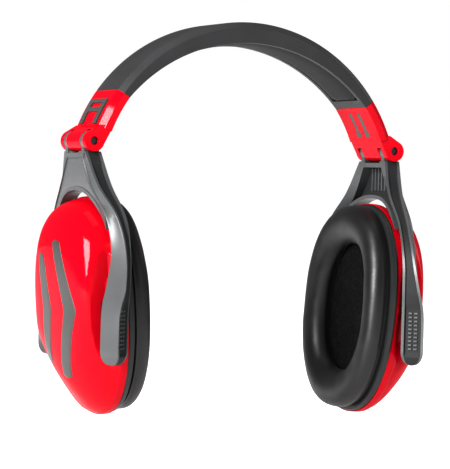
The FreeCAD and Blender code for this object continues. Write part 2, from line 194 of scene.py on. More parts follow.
def painted_shade_nylon(colours):
    # The same nylon where the mould was left rough, inside the panels and pockets,
    # darkened to 0.3 of its colour as painted shade for the recesses.
    return moulded("recess_nylon_painted_shade", shifted(colours.yoke, 0.3), 0.6, 0.8, 0.05, 0.12,
                   **{"Specular IOR Level": 0.25})


def inlay_plastic(colours):
    # Mid-grey ABS trim let into the red mouldings: satin from a lightly blasted mould.
    return moulded("satin_grey_abs", colours.inlay, 0.38, 0.7, 0.025, **{"Specular IOR Level": 0.25})


def ring_plastic(colours):
    # Moulded ABS ring between shell and cushion: dark grey with a soft satin edge.
    return moulded("satin_dark_abs", colours.ring, 0.36, 0.7, 0.02, **{"Specular IOR Level": 0.3})


def block_acetal(colours):
    # Machined-looking black acetal: smooth and slightly waxy.
    return moulded("black_acetal", linear("#1B1B1C"), 0.32, 1.2, 0.01)


def pad_rubber(colours):
    # Thermoplastic elastomer pad: dark, dull and slightly dusty, with a soft grain.
    return moulded("matt_elastomer", shifted(colours.band, 0.62), 0.68, 0.8, 0.06, 0.16,
                   **{"Specular IOR Level": 0.15, "Sheen Weight": 0.04, "Sheen Roughness": 0.5})


def brushed(name, colour, roughness):
    """Metal with fine lines drawn along Y."""
    material, tree, shader, place = start(name, {"Metallic": 1.0})
    stretched = add(tree, "ShaderNodeMapping", {"Scale": (1.0, 0.04, 1.0)}, {"Vector": place})
    lines = add(tree, "ShaderNodeTexNoise", {"Scale": per_metre(0.5), "Detail": 3.0},
                {"Vector": stretched.outputs["Vector"]})
    tint = ramp(tree, lines.outputs["Fac"], [(0.3, shifted(colour, 0.8)), (0.7, shifted(colour, 1.15))])
    tree.links.new(tint.outputs["Color"], shader.inputs["Base Color"])
    wander = add(tree, "ShaderNodeMapRange", {"To Min": roughness * 0.8, "To Max": roughness * 1.25},
                 {"Value": lines.outputs["Fac"]})
    tree.links.new(wander.outputs["Result"], shader.inputs["Roughness"])
    bump = add(tree, "ShaderNodeBump", {"Distance": 0.01 * MM}, {"Height": lines.outputs["Fac"]})
    tree.links.new(bump.outputs["Normal"], shader.inputs["Normal"])
    return material


def spring_steel(colours):
    # Cold-rolled tempered strip: bright grey with rolling lines.
    return brushed("rolled_spring_steel", linear("#A9A9AB"), 0.3)


def pin_steel(colours):
    # Blackened steel pin: dark, with turning marks.
    return brushed("blackened_steel", linear("#4A4A4D"), 0.36)


def cushion_film(colours):
    # Polyurethane film over foam: soft black, a fine pebbled grain and stretch
    # creases, with a broad dull sheen. Pebbles drawn at 1.1 mm, coarser than real.
    material, tree, shader, place = start("embossed_polyurethane_film", {
        "IOR": 1.48, "Specular IOR Level": 0.6, "Sheen Weight": 0.04, "Sheen Roughness": 0.45})
    pebbles = add(tree, "ShaderNodeTexVoronoi", {"Scale": per_metre(1.1)}, {"Vector": place})
    creases = add(tree, "ShaderNodeTexNoise", {"Scale": per_metre(9), "Detail": 4.0, "Distortion": 0.6},
                  {"Vector": place})
    tint = ramp(tree, creases.outputs["Fac"],
                [(0.3, shifted(colours.cushion, 0.8)), (0.7, shifted(colours.cushion, 1.25))])
    tree.links.new(tint.outputs["Color"], shader.inputs["Base Color"])
    wander = add(tree, "ShaderNodeMapRange", {"To Min": 0.36, "To Max": 0.5},
                 {"Value": creases.outputs["Fac"]})
    tree.links.new(wander.outputs["Result"], shader.inputs["Roughness"])
    coarse = add(tree, "ShaderNodeBump", {"Strength": 0.5, "Distance": 0.25 * MM},
                 {"Height": creases.outputs["Fac"]})
    bump = add(tree, "ShaderNodeBump", {"Strength": 0.5, "Distance": 0.06 * MM},
               {"Height": pebbles.outputs["Distance"], "Normal": coarse.outputs["Normal"]})
    tree.links.new(bump.outputs["Normal"], shader.inputs["Normal"])
    return material


def black_foam(colours):
    # Reticulated polyurethane foam: sooty, with a lace of open cells about 1.5 mm
    # wide, the cell middles painted darker as painted shade in the openings.
    material, tree, shader, place = start("black_reticulated_foam", {
        "Roughness": 0.95, "Specular IOR Level": 0.03})
    cells = add(tree, "ShaderNodeTexVoronoi", {"Scale": per_metre(1.5)}, {"Vector": place},
                feature="DISTANCE_TO_EDGE")
    # Lighter strands, darker cell middles: painted shade in the open cells.
    tint = ramp(tree, cells.outputs["Distance"], [(0.02, linear("#1D1D1D")), (0.3, linear("#0A0A0A"))])
    tree.links.new(tint.outputs["Color"], shader.inputs["Base Color"])
    bump = add(tree, "ShaderNodeBump", {"Strength": 1.0, "Distance": 0.5 * MM},
               {"Height": cells.outputs["Distance"]})
    bump.invert = True
    tree.links.new(bump.outputs["Normal"], shader.inputs["Normal"])
    return material


def studio_paper(colours):
    # Seamless background paper: nearly white, with the faintest tooth. It glows a
    # little, so that its far edge is as white as the surround.
    material, tree, shader, place = start("seamless_paper", {
        "Roughness": 0.9, "Specular IOR Level": 0.1, "Emission Color": (1, 1, 1, 1),
        "Emission Strength": 0.12})
    tooth = add(tree, "ShaderNodeTexNoise", {"Scale": per_metre(300), "Detail": 2.0}, {"Vector": place})
    tint = ramp(tree, tooth.outputs["Fac"], [(0.3, linear("#F7F7F7")), (0.7, linear("#FBFBFB"))])
    tree.links.new(tint.outputs["Color"], shader.inputs["Base Color"])
    return material


RECIPES = {
    "red": red_abs, "band": band_plastic, "yoke": yoke_nylon, "recess": painted_shade_nylon, "inlay": inlay_plastic,
    "ring": ring_plastic, "block": block_acetal, "pad": pad_rubber, "spring": spring_steel,
    "pin": pin_steel, "cushion": cushion_film, "foam": black_foam, "paper": studio_paper,
}
made_finishes = {}


def finish(name):
    """The material of that name, made on its first use."""
    if name not in made_finishes:
        made_finishes[name] = RECIPES[name](bpy.context.scene.earmuff_colours)
    return made_finishes[name]


def dress(node, name):
    """Gives a CAD node its finish."""
    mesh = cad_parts[node].data
    mesh.materials.clear()
    mesh.materials.append(finish(name))


# ---------------------------------------------------------------- mesh helpers

def skin(bm, rings, caps=True, recessed=()):
    """Closed tube through rings of points, each extruded from the one before.

    The sides that start at the recessed points take the second finish.
    """
    count = len(rings[0])
    loop = [bm.verts.new(point) for point in rings[0]]
    edges = [bm.edges.new((loop[i], loop[(i + 1) % count])) for i in range(count)]
    if caps:
        bm.faces.new(loop)
    for places in rings[1:]:
        grown = bmesh.ops.extrude_edge_only(bm, edges=edges)["geom"]
        fresh = {item for item in grown if isinstance(item, bmesh.types.BMVert)}
        following = []
        for vert, place in zip(loop, places):
            partner = next(e.other_vert(vert) for e in vert.link_edges if e.other_vert(vert) in fresh)
            partner.co = place
            following.append(partner)
        for i in recessed:
            pair = {following[i], following[(i + 1) % count]}
            side = next(face for face in loop[i].link_faces if pair <= set(face.verts))
            side.material_index = 1
        loop = following
        edges = [bm.edges.get((loop[i], loop[(i + 1) % count])) for i in range(count)]
    if caps:
        bm.faces.new(loop)


def tidy_faces(bm):
    bmesh.ops.remove_doubles(bm, verts=bm.verts, dist=0.001)
    bmesh.ops.recalc_face_normals(bm, faces=bm.faces)


def piece(name, bm, finish_name, body, smooth_degrees=40.0, edge=0.0, segments=2, rounds=0, second=None):
    """Turns a mesh in millimetres into a finished object on its body."""
    bmesh.ops.scale(bm, vec=(MM, MM, MM), verts=bm.verts)
    mesh = bpy.data.meshes.new(name)
    bm.to_mesh(mesh)
    bm.free()
    mesh.shade_smooth()
    mesh.set_sharp_from_angle(angle=math.radians(smooth_degrees))
    mesh.materials.append(finish(finish_name))
    if second:
        mesh.materials.append(finish(second))
    made = bpy.data.objects.new(name, mesh)
    bpy.context.collection.objects.link(made)
    if edge:
        soft = made.modifiers.new("rounded edges", "BEVEL")
        soft.width = edge * MM
        soft.segments = segments
        soft.limit_method = "ANGLE"
        soft.angle_limit = math.radians(smooth_degrees)
        soft.harden_normals = True
    if rounds:
        finer = made.modifiers.new("finer surface", "SUBSURF")
        finer.levels = finer.render_levels = rounds
    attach(made, body)
    return made


def other_side(bm):
    """The same piece for the left side."""
    turned = bm.copy()
    bmesh.ops.scale(turned, vec=(-1, 1, 1), verts=turned.verts)
    bmesh.ops.reverse_faces(turned, faces=turned.faces)
    return turned


def both_sides(name, bm, finish_name, body, nodes, slot, **looks):
    """Makes the right piece and its left mirror image, standing for their CAD nodes."""
    made = []
    for side, shape in (("left", other_side(bm)), ("right", bm)):
        new = piece(f"{side}_{name}", shape, finish_name, f"{side}_{body}", **looks)
        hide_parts(*[f"{side}_{node}" for node in nodes])
        made.append(new)
    return made


def softened(node, finish_name, body, edge):
    """Copy of a CAD node with its moulded edges rounded."""
    bm = bmesh.new()
    bm.from_mesh(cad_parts[node].data)
    bmesh.ops.scale(bm, vec=(1 / MM,) * 3, verts=bm.verts)
    bmesh.ops.remove_doubles(bm, verts=bm.verts, dist=0.002)
    bmesh.ops.dissolve_limit(bm, angle_limit=math.radians(1.0), verts=bm.verts, edges=bm.edges)
    new = piece(node + "_moulding", bm, finish_name, body, smooth_degrees=32, edge=edge, segments=3)
    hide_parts(node)
    return new


def block(bm, low, high):
    """Box between two corners."""
    low, high = Vector(low), Vector(high)
    made = bmesh.ops.create_cube(bm, size=1.0)["verts"]
    bmesh.ops.scale(bm, vec=high - low, verts=made)
    bmesh.ops.translate(bm, vec=(low + high) / 2, verts=made)
    return made


def drum(bm, radius, y_low, y_high, x, z):
    """Cylinder along Y."""
    made = bmesh.ops.create_cone(bm, cap_ends=True, segments=48, radius1=radius, radius2=radius,
                                 depth=y_high - y_low)["verts"]
    bmesh.ops.rotate(bm, verts=made, cent=(0, 0, 0), matrix=Matrix.Rotation(math.pi / 2, 3, "X"))
    bmesh.ops.translate(bm, vec=(x, (y_low + y_high) / 2, z), verts=made)
    return made


def smooth_at(table, key):
    """Value at key from (key, values) rows, on a smooth curve through them."""
    rows = sorted(table, key=lambda row: row[0])
    key = min(max(key, rows[0][0]), rows[-1][0])
    index = max(i for i in range(len(rows) - 1) if rows[i][0] <= key)
    (x0, a), (x1, b) = rows[index], rows[index + 1]
    before = rows[index - 1] if index else rows[index]
    after = rows[index + 2] if index + 2 < len(rows) else rows[index + 1]
    t = (key - x0) / (x1 - x0)
    result = []
    for k in range(len(a)):
        slope_a = (b[k] - before[1][k]) / (x1 - before[0])
        slope_b = (after[1][k] - a[k]) / (after[0] - x0)
        h = x1 - x0
        result.append((2 * t**3 - 3 * t**2 + 1) * a[k] + (t**3 - 2 * t**2 + t) * h * slope_a
                      + (3 * t**2 - 2 * t**3) * b[k] + (t**3 - t**2) * h * slope_b)
    return result


def ease(low, high, value):
    t = min(max((value - low) / (high - low), 0.0), 1.0)
    return t * t * (3 - 2 * t)


def outline(half_depth, half_height, turn, squareness=SQUARENESS):
    c, s = math.cos(turn), math.sin(turn)
    y = half_depth * math.copysign(abs(c) ** (2 / squareness), c)
    z = half_height * math.copysign(abs(s) ** (2 / squareness), s)
    return y, z


def turns(count):
    return [2 * math.pi * step / count for step in range(count)]


def hang(bm):
    """Moves a cup piece from its own frame to its place, tilted on the right pivot."""
    spin = Matrix.Rotation(CUP_TILT, 4, "Y")
    bmesh.ops.transform(bm, matrix=Matrix.Translation((PIVOT_X, 0, 0)) @ spin, verts=bm.verts)


# ---------------------------------------------------------------- headband

def underside():
    """Radius and centre height of the arc under the band."""
    turn = math.radians(BAND_END_ANGLE)
    x = (BAND_RADIUS - BAND_END) * math.cos(turn)
    z = ARC_Z + (BAND_RADIUS - BAND_END) * math.sin(turn)
    crown = BAND_TOP - BAND_CROWN
    centre = (crown ** 2 - z ** 2 - x ** 2) / (2 * (crown - z))
    return crown - centre, centre


def crown_pad(sizes):
    """Soft pad under the band, crowned across its width with round ends."""
    radius, centre = underside()
    half = BAND_HALF - PAD_RIM - 0.15
    first = math.degrees(math.atan2(ARC_Z + 80 * math.sin(math.radians(PAD_FIRST)) - centre,
                                    80 * math.cos(math.radians(PAD_FIRST)))) + 0.2
    rings = []
    steps = 96
    for step in range(steps + 1):
        share = step / steps
        turn = math.radians(first + (180 - 2 * first) * share)
        away = min(share, 1 - share) * math.radians(180 - 2 * first) * radius
        narrow = math.sqrt(max(0.0, 1 - max(0.0, 1 - away / 5.0) ** 2.4))
        width = half * (0.72 + 0.28 * narrow)
        lift = sizes.pad_crown * narrow
        ring = []
        for across in (-1.0, -0.97, -0.88, -0.7, -0.45, -0.2, 0.0, 0.2, 0.45, 0.7, 0.88, 0.97, 1.0):
            bulge = lift * (1 - abs(across) ** 3.2) - 0.3
            r = radius - bulge
            ring.append((r * math.cos(turn), across * width, centre + r * math.sin(turn)))
        for across in (1.0, 0.5, 0.0, -0.5, -1.0):
            r = radius + 2.7
            ring.append((r * math.cos(turn), across * width, centre + r * math.sin(turn)))
        rings.append(ring)
    bm = bmesh.new()
    skin(bm, rings)
    tidy_faces(bm)
    return bm


# ---------------------------------------------------------------- yokes

# Front leg: height, then (outward of the hinge pin, forward of the middle) for its
# outer edge, front edge, head side and cup side.
LEG = [
    (PIN.z - 5.2, [4.3, 8.0, 4.1, 14.0, -4.4, 14.2, -4.3, 8.0]),
    (60.0, [3.6, 19.6, 1.0, 24.6, -7.0, 23.6, -4.0, 18.4]),
    (45.0, [0.9, 35.7, -3.3, 40.3, -8.8, 38.9, -3.5, 33.0]),
    (28.0, [0.2, 42.3, -4.6, 49.6, -9.2, 45.2, -1.8, 37.6]),
    (11.0, [2.4, 42.5, -3.2, 54.0, -9.1, 46.0, -1.6, 36.6]),
    (3.0, [4.2, 42.6, -1.2, 54.0, -8.8, 45.5, -1.6, 36.5]),
    (-4.0, [4.6, 42.6, -0.4, 53.7, -8.7, 45.3, -1.6, 36.5]),
    (-26.5, [4.6, 42.6, -0.4, 53.7, -8.7, 45.3, -1.6, 36.5]),
]
PADDLE_END = LEG[-1][0]
NOSE = 7.0                  # length of the rounded end of a paddle


def leg_ring(z):
    """Section of the front leg with a shallow groove down its front face."""
    v = smooth_at(LEG, z)
    outer, front, head, cup = (Vector((v[i], v[i + 1])) for i in (0, 2, 4, 6))
    across = (head - front).normalized()
    inward = Vector((across.y, -across.x))
    if inward.dot(cup - front) < 0:
        inward = -inward
    deep = 0.75 * ease(PIN.z - 8, PIN.z - 16, z) + 0.35 * ease(5.0, 2.0, z)
    deep *= ease(PADDLE_END + 4.2, PADDLE_END + 6.6, z)
    length = (head - front).length
    rim = min(1.5, length * 0.2)
    wall = 0.45
    groove = [front + across * rim, front + across * (rim + wall) + inward * deep,
              head - across * (rim + wall) + inward * deep, head - across * rim]
    face = outer.lerp(front, 0.13)
    sink = Vector((-(front - outer).y, (front - outer).x)).normalized()
    if sink.dot(cup - outer) < 0:
        sink = -sink
    shallow = 0.25 * ease(22.0, 56.0, z)
    panel = [face, outer.lerp(front, 0.2) + sink * shallow, outer.lerp(front, 0.8) + sink * shallow,
             outer.lerp(front, 0.87)]
    points = [outer, *panel, front, *groove, head, cup]
    centre = (outer + front + head + cup) / 4
    left = min(1.0, max(0.0, (z - PADDLE_END) / NOSE))
    keep = math.sqrt(max(0.0004, 1 - (1 - left) ** 2))
    ring = []
    for point in points:
        off = point - centre
        ring.append((PIN.x + centre.x + off.x * (0.12 + 0.88 * keep), -(centre.y + off.y * keep), z))
    return ring


def arch_height(y):
    return ARCH_TOP * (1 - min(0.999, abs(y) / ARCH_DEPTH) ** SQUARENESS) ** (1 / SQUARENESS)


def web_x(z):
    return PIN.x + smooth_at(LEG, z)[0] - 0.7


def web_rings():
    """Sections, front to back, of the panel between the legs and above the arch."""
    top = [(0.0, [PIN.z - 6.2]), (10.4, [PIN.z - 6.2]), (21.0, [60.0]), (36.5, [46.0]), (40.0, [42.0])]
    rings = []
    for step in range(-33, 34):
        y = step * 1.02
        low, high = arch_height(y), smooth_at(top, abs(y))[0]
        heights = [low + (high - low) * k / 6 for k in range(7)]
        ring = [(web_x(z), y, z) for z in heights]
        ring += [(web_x(z) - 2.4, y, z) for z in reversed(heights)]
        rings.append(ring)
    return rings


def arch_lip_rings():
    """Sections of the raised lip round the arch opening."""
    rings = []
    for step in range(-30, 31):
        y = step * 1.05
        low = arch_height(y)
        slope = (arch_height(y + 0.1) - arch_height(y - 0.1)) / 0.2
        normal = Vector((-slope, 1.0)).normalized()
        fade = ease(31.5, 24.0, abs(y))
        rise = 0.3 + 1.6 * fade
        z = min(low, 60.0)
        outer = web_x(z) + 0.7 * fade
        inner = PIN.x - 4.4 - 2.2 * ease(8.0, 30.0, abs(y))
        near, far = Vector((y, low)), Vector((y, low)) + normal * rise
        rings.append([(inner, near.x, near.y), (outer, near.x, near.y),
                      (outer, far.x, far.y), (inner, far.x, far.y)])
    return rings


def pocket_ribs(bm, sizes):
    """Grip ribs across the pocket in each paddle's front face."""
    v = smooth_at(LEG, -10.0)
    front, head = Vector((v[2], v[3])), Vector((v[4], v[5]))
    across = (head - front).normalized()
    away = Vector((across.y, -across.x))
    if away.y < 0:
        away = -away
    mid = (front + head) / 2
    for column in (-1, 1):
        for row in range(sizes.rib_count):
            z = PADDLE_END + 8.6 + row * sizes.rib_pitch
            made = block(bm, (-0.9, -0.35, -0.42), (0.9, 0.35, 0.42))
            frame_turn = Matrix(((across.x, away.x, 0), (-across.y, -away.y, 0), (0, 0, 1)))
            bmesh.ops.rotate(bm, verts=made, cent=(0, 0, 0), matrix=frame_turn)
            spot = mid + across * column * 1.45 - away * 0.75
            bmesh.ops.translate(bm, vec=(PIN.x + spot.x, -spot.y, z), verts=made)


def yoke_mesh(sizes):
    bm = bmesh.new()
    heights = [PIN.z - 5.2 - 1.2 * k for k in range(int((PIN.z - 5.2 - PADDLE_END - NOSE) / 1.2))]
    heights += [PADDLE_END + NOSE * (1 - k / 10) for k in range(11)]
    # The groove down each leg's front face takes the darker finish, painted shade.
    skin(bm, [leg_ring(z) for z in heights], recessed=(6, 7, 8))
    pocket_ribs(bm, sizes)
    rear = bm.copy()
    bmesh.ops.scale(rear, vec=(1, -1, 1), verts=rear.verts)
    spare = bpy.data.meshes.new("rear leg")
    rear.to_mesh(spare)
    rear.free()
    bm.from_mesh(spare)
    bpy.data.meshes.remove(spare)
    # The web's head-side face takes the darker finish, painted shade.
    skin(bm, web_rings(), recessed=range(7, 13))
    skin(bm, arch_lip_rings())
    neck = PIN.z - 6.0
    block(bm, (PIN.x - 4.2, -EAR_OUTER, neck - 2.4), (PIN.x + 4.2, EAR_OUTER, neck))
    for row in (-7.0, -3.5, 0.0, 3.5, 7.0):
        block(bm, (PIN.x - 0.4, row - 0.45, 61.5), (PIN.x + 2.4, row + 0.45, neck - 2.0))
    for side in (-1, 1):
        low, high = sorted((side * EAR_INNER, side * EAR_OUTER))
        drum(bm, 5.0, low, high, PIN.x, PIN.z)
        block(bm, (PIN.x - 4.0, low, neck - 1.0), (PIN.x + 4.0, high, PIN.z))
    tidy_faces(bm)
    return bm


# ---------------------------------------------------------------- cups

# How the shell draws in: share of the way to its outer face, inset of its outline.
# The step between 0.15 and 0.19 is the faint line round its rim.
DOME = [(0.0, [0.0]), (0.15, [0.1]), (0.19, [0.8]), (0.3, [1.1]), (0.5, [2.6]), (0.68, [5.4]), (0.8, [8.8]),
        (0.865, [11.6]), (0.91, [15.0]), (0.955, [20.5]), (0.985, [28.0]), (1.0, [38.0])]


# How far the lower end of a section is drawn up, by share of the way out.
SLOPE = [(0.0, [0.0]), (0.2, [0.4]), (0.3, [2.0]), (0.42, [5.4]), (0.58, [10.0]), (0.78, [14.0]),
         (0.93, [14.0]), (1.0, [8.0])]
SHELL_WALL = 2.4
LEG_GAP = 2.2               # shell clear of a leg


def inset_at(share):
    return smooth_at(DOME, share)[0]


def drawn_up(share, y, z, half_height):
    """Lifts the lower end of a section of the shell, most of all at the back."""
    rear = 0.6 + 0.4 * ease(-12.0, 22.0, y)
    return z + smooth_at(SLOPE, share)[0] * rear * ease(0.0, 1.0, -z / half_height)


def in_channel(x, y, z):
    """Draws a point of the shell in where a leg of the yoke passes."""
    head = Vector((-8.2, 45.3))
    cup = Vector((-1.1, 36.5))
    along = (head - cup).normalized()
    away = Vector((-along.y, along.x))
    if away.x > 0:
        away = -away
    near = head + away * LEG_GAP
    slant = near.y + (x - near.x) * along.y / along.x
    limit = max(CHANNEL_HALF, slant) if x < -3.5 else CHANNEL_HALF
    excess = abs(y) - limit
    if excess <= 0:
        return y
    return math.copysign(abs(y) - excess * ease(-37.0, -30.5, z), y)


def shell_mesh():
    """Outer skin and inner wall of a cup, with a channel each side for the yoke."""
    bm = bmesh.new()
    count = 200
    shares = [0.0, 0.01, 0.06, 0.12, 0.15, 0.165, 0.18, 0.195, 0.22, 0.28, 0.36, 0.44, 0.5, 0.56, 0.62, 0.68,
              0.73, 0.77, 0.8, 0.825, 0.85, 0.87, 0.89, 0.91, 0.93, 0.95, 0.965, 0.98, 0.99, 1.0]
    rings = []
    for share in shares:
        pull = inset_at(share)
        x = CUP_RIM + share * (CUP_FACE - CUP_RIM)
        ring = []
        for turn in turns(count):
            y, z = outline(CUP_DEPTH - pull, CUP_HEIGHT - pull, turn)
            ring.append((x, in_channel(x, y, z), drawn_up(share, y, z, CUP_HEIGHT - pull)))
        rings.append(ring)
    wall = []
    for share in (0.97, 0.9, 0.8, 0.65, 0.4, 0.0):
        pull = inset_at(share) + SHELL_WALL
        x = CUP_RIM + share * (CUP_FACE - SHELL_WALL - CUP_RIM)
        ring = []
        for turn in turns(count):
            y, z = outline(CUP_DEPTH - pull - 2.0, CUP_HEIGHT - pull, turn)
            ring.append((x, in_channel(x, y, z), drawn_up(share, y, z, CUP_HEIGHT - pull)))
        wall.append(ring)
    skin(bm, list(reversed(rings)) + list(reversed(wall)))
    tidy_faces(bm)
    hang(bm)
    return bm


def dome_x(y, z):
    """Height of the shell's outer face over a point of its outline plane."""
    low, high = 0.0, 1.0
    for _ in range(22):
        share = (low + high) / 2
        pull = inset_at(share)
        a, b = CUP_DEPTH - pull, CUP_HEIGHT - pull
        level = z
        for _ in range(6):
            level += z - drawn_up(share, y, level, b)
        inside = (abs(y) / a) ** SQUARENESS + (abs(level) / b) ** SQUARENESS < 1
        low, high = (share, high) if inside else (low, share)
    return CUP_RIM + low * (CUP_FACE - CUP_RIM)


def stripe(bm, bend_y, sweep_down, sweep_up, half_height, width):
    """Bent stripe that points forward, laid on the shell."""
    half = width / 2
    rings = []
    steps = 64
    for step in range(steps + 1):
        t = -1 + 2 * step / steps
        z = half_height * t
        sweep = sweep_up if t > 0 else sweep_down
        y_mid = bend_y + sweep * (math.sqrt(t * t + 0.0025) - 0.05)
        reach = half * (1.22 - 0.32 * abs(t))
        end = half_height - abs(z)
        reach *= math.sqrt(min(1.0, (end + 0.02) / 1.1))
        ring = []
        for across in (-1, -0.96, -0.86, -0.5, 0, 0.5, 0.86, 0.96, 1):
            y = y_mid + across * reach
            proud = 0.28 if abs(across) < 0.9 else (0.2 if abs(across) < 0.99 else -0.1)
            ring.append((dome_x(y, z) + proud, y, z))
        for across in (1, 0, -1):
            y = y_mid + across * reach
            ring.append((dome_x(y, z) - 1.0, y, z))
        rings.append(ring)
    skin(bm, rings)


def stripe_mesh(sizes):
    bm = bmesh.new()
    stripe(bm, -22.0, 12.5, 15.0, 34.0, sizes.stripe_width)
    stripe(bm, 5.0, 3.5, 7.0, 27.0, sizes.stripe_width)
    tidy_faces(bm)
    hang(bm)
    return bm


def oval_ring(profile, depth, height, hole_depth, hole_height, count=160):
    """Ring swept round the cup; profile is (share from outline to hole, x) points."""
    bm = bmesh.new()
    rings = []
    for turn in turns(count):
        ring = []
        for share, x in profile:
            outer = Vector(outline(depth, height, turn))
            inner = Vector(outline(hole_depth, hole_height, turn))
            ring.append((x, *outer.lerp(inner, share)))
        rings.append(ring)
    skin(bm, rings + [rings[0]], caps=False)
    tidy_faces(bm)
    return bm


def plate_mesh():
    """Backplate ring with a light bead round its edge."""
    high, low = CUP_RIM - 0.05, PLATE_FACE
    profile = [(0.07, high), (0.015, high), (0.0, high - 0.35), (-0.008, high - 0.8), (0.0, high - 1.25),
               (0.014, high - 1.5), (0.016, low + 0.7), (0.03, low + 0.15), (0.06, low), (1.0, low),
               (1.0, high)]
    bm = oval_ring(profile, CUP_DEPTH + 0.5, CUP_HEIGHT - 0.6, 27.0, 35.0)
    hang(bm)
    return bm


# Cushion section: share of the way from outline to hole, height as a share of the
# crown, from the welted base round to the hole.
CUSHION = [(0.10, 0.0), (0.045, 0.02), (0.015, 0.07), (0.03, 0.125), (-0.005, 0.19), (-0.022, 0.32),
           (-0.012, 0.5), (0.04, 0.7), (0.13, 0.86), (0.25, 0.96), (0.38, 1.0), (0.52, 0.985), (0.66, 0.92),
           (0.79, 0.79), (0.89, 0.61), (0.95, 0.42), (0.985, 0.2), (1.0, 0.0)]
CUSHION_DEPTH = 40.3        # half the cushion, front to back
CUSHION_HEIGHT = 52.0
CUSHION_HOLE_DEPTH = 24.5
CUSHION_HOLE_HEIGHT = 32.5
FILM_FRAMES = 16            # length of the cloth simulation


def cushion_mesh(sizes):
    profile = [(share, CUSHION_BASE - rise * sizes.cushion_crown) for share, rise in CUSHION]
    return oval_ring(profile, CUSHION_DEPTH, CUSHION_HEIGHT, CUSHION_HOLE_DEPTH, CUSHION_HOLE_HEIGHT, 192)


def puffed(bm, most):
    """Blows the cushion's film up by cloth simulation, held at its base, by at most so many mm."""
    rest = [vert.co.copy() for vert in bm.verts]
    pinned = [index for index, place in enumerate(rest) if place.x > CUSHION_BASE - 1.6]
    bmesh.ops.scale(bm, vec=(MM, MM, MM), verts=bm.verts)
    mesh = bpy.data.meshes.new("cushion film")
    bm.to_mesh(mesh)
    film = bpy.data.objects.new("cushion film", mesh)
    bpy.context.collection.objects.link(film)
    film.vertex_groups.new(name="base").add(pinned, 1.0, "REPLACE")
    cloth = film.modifiers.new("film", "CLOTH")
    cloth.settings.quality = 6
    cloth.settings.mass = 0.2
    cloth.settings.tension_stiffness = 18
    cloth.settings.compression_stiffness = 18
    cloth.settings.bending_stiffness = 2.5
    cloth.settings.use_pressure = True
    cloth.settings.uniform_pressure_force = 2.2
    cloth.settings.effector_weights.gravity = 0.0
    cloth.settings.vertex_group_mass = "base"
    cloth.point_cache.frame_end = FILM_FRAMES
    scene = bpy.context.scene
    for step in range(1, FILM_FRAMES + 1):
        scene.frame_set(step)
    blown = film.evaluated_get(bpy.context.evaluated_depsgraph_get()).to_mesh()
    places = [vert.co / MM for vert in blown.vertices]
    film.to_mesh_clear()
    bpy.data.objects.remove(film)
    scene.frame_set(1)
    bmesh.ops.scale(bm, vec=(1 / MM,) * 3, verts=bm.verts)
    for vert, home, place in zip(bm.verts, rest, places):
        move = place - home
        if move.length > most:
            move = move.normalized() * most
        vert.co = home + move
    return bm


def creased(bm):
    """Soft hollows that hands leave in a used cushion."""
    for vert in bm.verts:
        weight = ease(CUSHION_BASE - 1.5, CUSHION_BASE - 5.0, vert.co.x)
        broad = noise.noise(vert.co / 22.0)
        fine = noise.noise(vert.co / 7.0 + Vector((9, 2, 5)))
        vert.co += vert.normal * weight * (0.35 * broad + 0.12 * fine)


# Cover foam: half its depth and height, its flat back, and (share of the way to its
# edge, x) points of its dished face.
SHEET_DEPTH = 26.6
SHEET_HEIGHT = 34.6
SHEET_BACK = -9.8
SHEET_FACE = [(1.0, -11.6), (0.995, -12.0), (0.975, -12.3), (0.93, -12.35), (0.86, -12.1), (0.76, -11.7),
              (0.64, -11.3), (0.5, -11.0), (0.36, -10.8), (0.22, -10.7), (0.1, -10.65), (0.02, -10.65)]


def sheet_ring(share):
    return [outline(SHEET_DEPTH * share, SHEET_HEIGHT * share, turn) for turn in turns(120)]


def foam_sheet():
    """Acoustic foam behind the hole: a softly dished sheet with a pinched rim."""
    bm = bmesh.new()
    rings = []
    for share, x in SHEET_FACE:
        ring = []
        for y, z in sheet_ring(share):
            lump = 0.35 * noise.noise(Vector((y, z, 0)) / 5.0) * ease(1.0, 0.85, share)
            ring.append((x + lump, y, z))
        rings.append(ring)
    back = [[(SHEET_BACK, y, z) for y, z in sheet_ring(share)] for share in (0.02, 1.0)]
    skin(bm, rings, caps=False)
    skin(bm, [*back, rings[0]], caps=False)
    bmesh.ops.holes_fill(bm, edges=[e for e in bm.edges if e.is_boundary], sides=0)
    tidy_faces(bm)
    hang(bm)
    return bm


def cup_filling():
    """Foam block that fills a cup, following the slope of the shell's lower end."""
    bm = bmesh.new()
    depth, height = CHANNEL_HALF - 6.0, CUP_HEIGHT - 16.0
    rings = []
    for share in (0.03, 0.06, 0.2, 0.35, 0.5, 0.65, 0.73, 0.75):
        edge = 1.0 if 0.05 < share < 0.74 else 0.97
        ring = []
        for turn in turns(72):
            y, z = outline(depth * edge, height * edge, turn)
            ring.append((CUP_RIM + share * (CUP_FACE - CUP_RIM), y, drawn_up(share, y, z, height)))
        rings.append(ring)
    skin(bm, list(reversed(rings)))
    tidy_faces(bm)
    hang(bm)
    return bm


# ---------------------------------------------------------------- stage

FLOOR_DROP = 17.5           # a little more than a cup can be lowered


